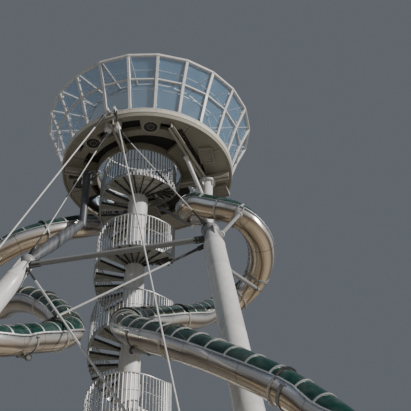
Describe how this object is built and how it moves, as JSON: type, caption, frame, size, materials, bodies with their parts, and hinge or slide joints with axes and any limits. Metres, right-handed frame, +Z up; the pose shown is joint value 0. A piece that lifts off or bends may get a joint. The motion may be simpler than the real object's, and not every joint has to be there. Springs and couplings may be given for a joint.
{
  "type": "slide tower",
  "caption": "Tall steel slide tower with a central mast and spiral stair, raking tapered legs, a round glazed deck and closed tube slides coiling down round the legs.",
  "frame": {"origin": "on the mast's axis at ground level, under its base plate", "axes": "+Z up along the mast; +Y away from the open face between the two near legs; +X to the right as seen from the front"},
  "size_m": [19.4795, 30.4193, 28.3546],
  "materials": {
    "white_steel": "satin",
    "galvanised_steel": "matt",
    "polished_stainless": "polished",
    "green_cover": "clear",
    "blue_glass": "clear",
    "deck_paint": "matt"
  },
  "bodies": {
    "root": {"mast_base": "white_steel", "mast": "white_steel", "stair_flight_1": "galvanised_steel", "stair_railing_1": "galvanised_steel", "stair_flight_2": "galvanised_steel", "stair_railing_2": "galvanised_steel", "stair_flight_3": "galvanised_steel", "stair_railing_3": "galvanised_steel", "stair_flight_4": "galvanised_steel", "stair_railing_4": "galvanised_steel", "stair_flight_5": "galvanised_steel", "stair_railing_5": "galvanised_steel", "stair_flight_6": "galvanised_steel", "stair_railing_6": "galvanised_steel", "stair_flight_7": "galvanised_steel", "stair_railing_7": "galvanised_steel", "stair_flight_8": "galvanised_steel", "stair_railing_8": "galvanised_steel", "stair_flight_9": "galvanised_steel", "stair_railing_9": "galvanised_steel", "deck_floor": "deck_paint", "deck_underplate": "deck_paint", "deck_fascia": "white_steel", "deck_girders": "deck_paint", "crown_frame": "white_steel", "crown_glass_lower": "blue_glass", "crown_glass_upper": "blue_glass", "canopy_frame": "white_steel", "canopy_glass": "blue_glass", "right_leg_foot": "white_steel", "right_lower_leg": "white_steel", "right_upper_leg": "white_steel", "left_leg_foot": "white_steel", "left_lower_leg": "white_steel", "left_upper_leg": "white_steel", "far_leg_foot": "white_steel", "far_lower_leg": "white_steel", "far_upper_leg": "white_steel", "main_tie": "white_steel", "inner_rod_right": "white_steel", "outer_rod_right": "white_steel", "cross_rod_right": "white_steel", "inner_rod_left": "white_steel", "outer_rod_left": "white_steel", "cross_rod_left": "white_steel", "right_chute_upper": "polished_stainless", "right_chute_lower": "polished_stainless", "right_cover_upper": "green_cover", "right_cover_lower": "green_cover", "left_chute_upper": "polished_stainless", "left_chute_lower": "polished_stainless", "left_cover_upper": "green_cover", "left_cover_lower": "green_cover", "slide_hanger": "white_steel", "right_slide_yoke": "white_steel", "right_slide_stand": "white_steel", "left_slide_yoke": "white_steel", "left_slide_stand": "white_steel"}
  },
  "joints": []
}
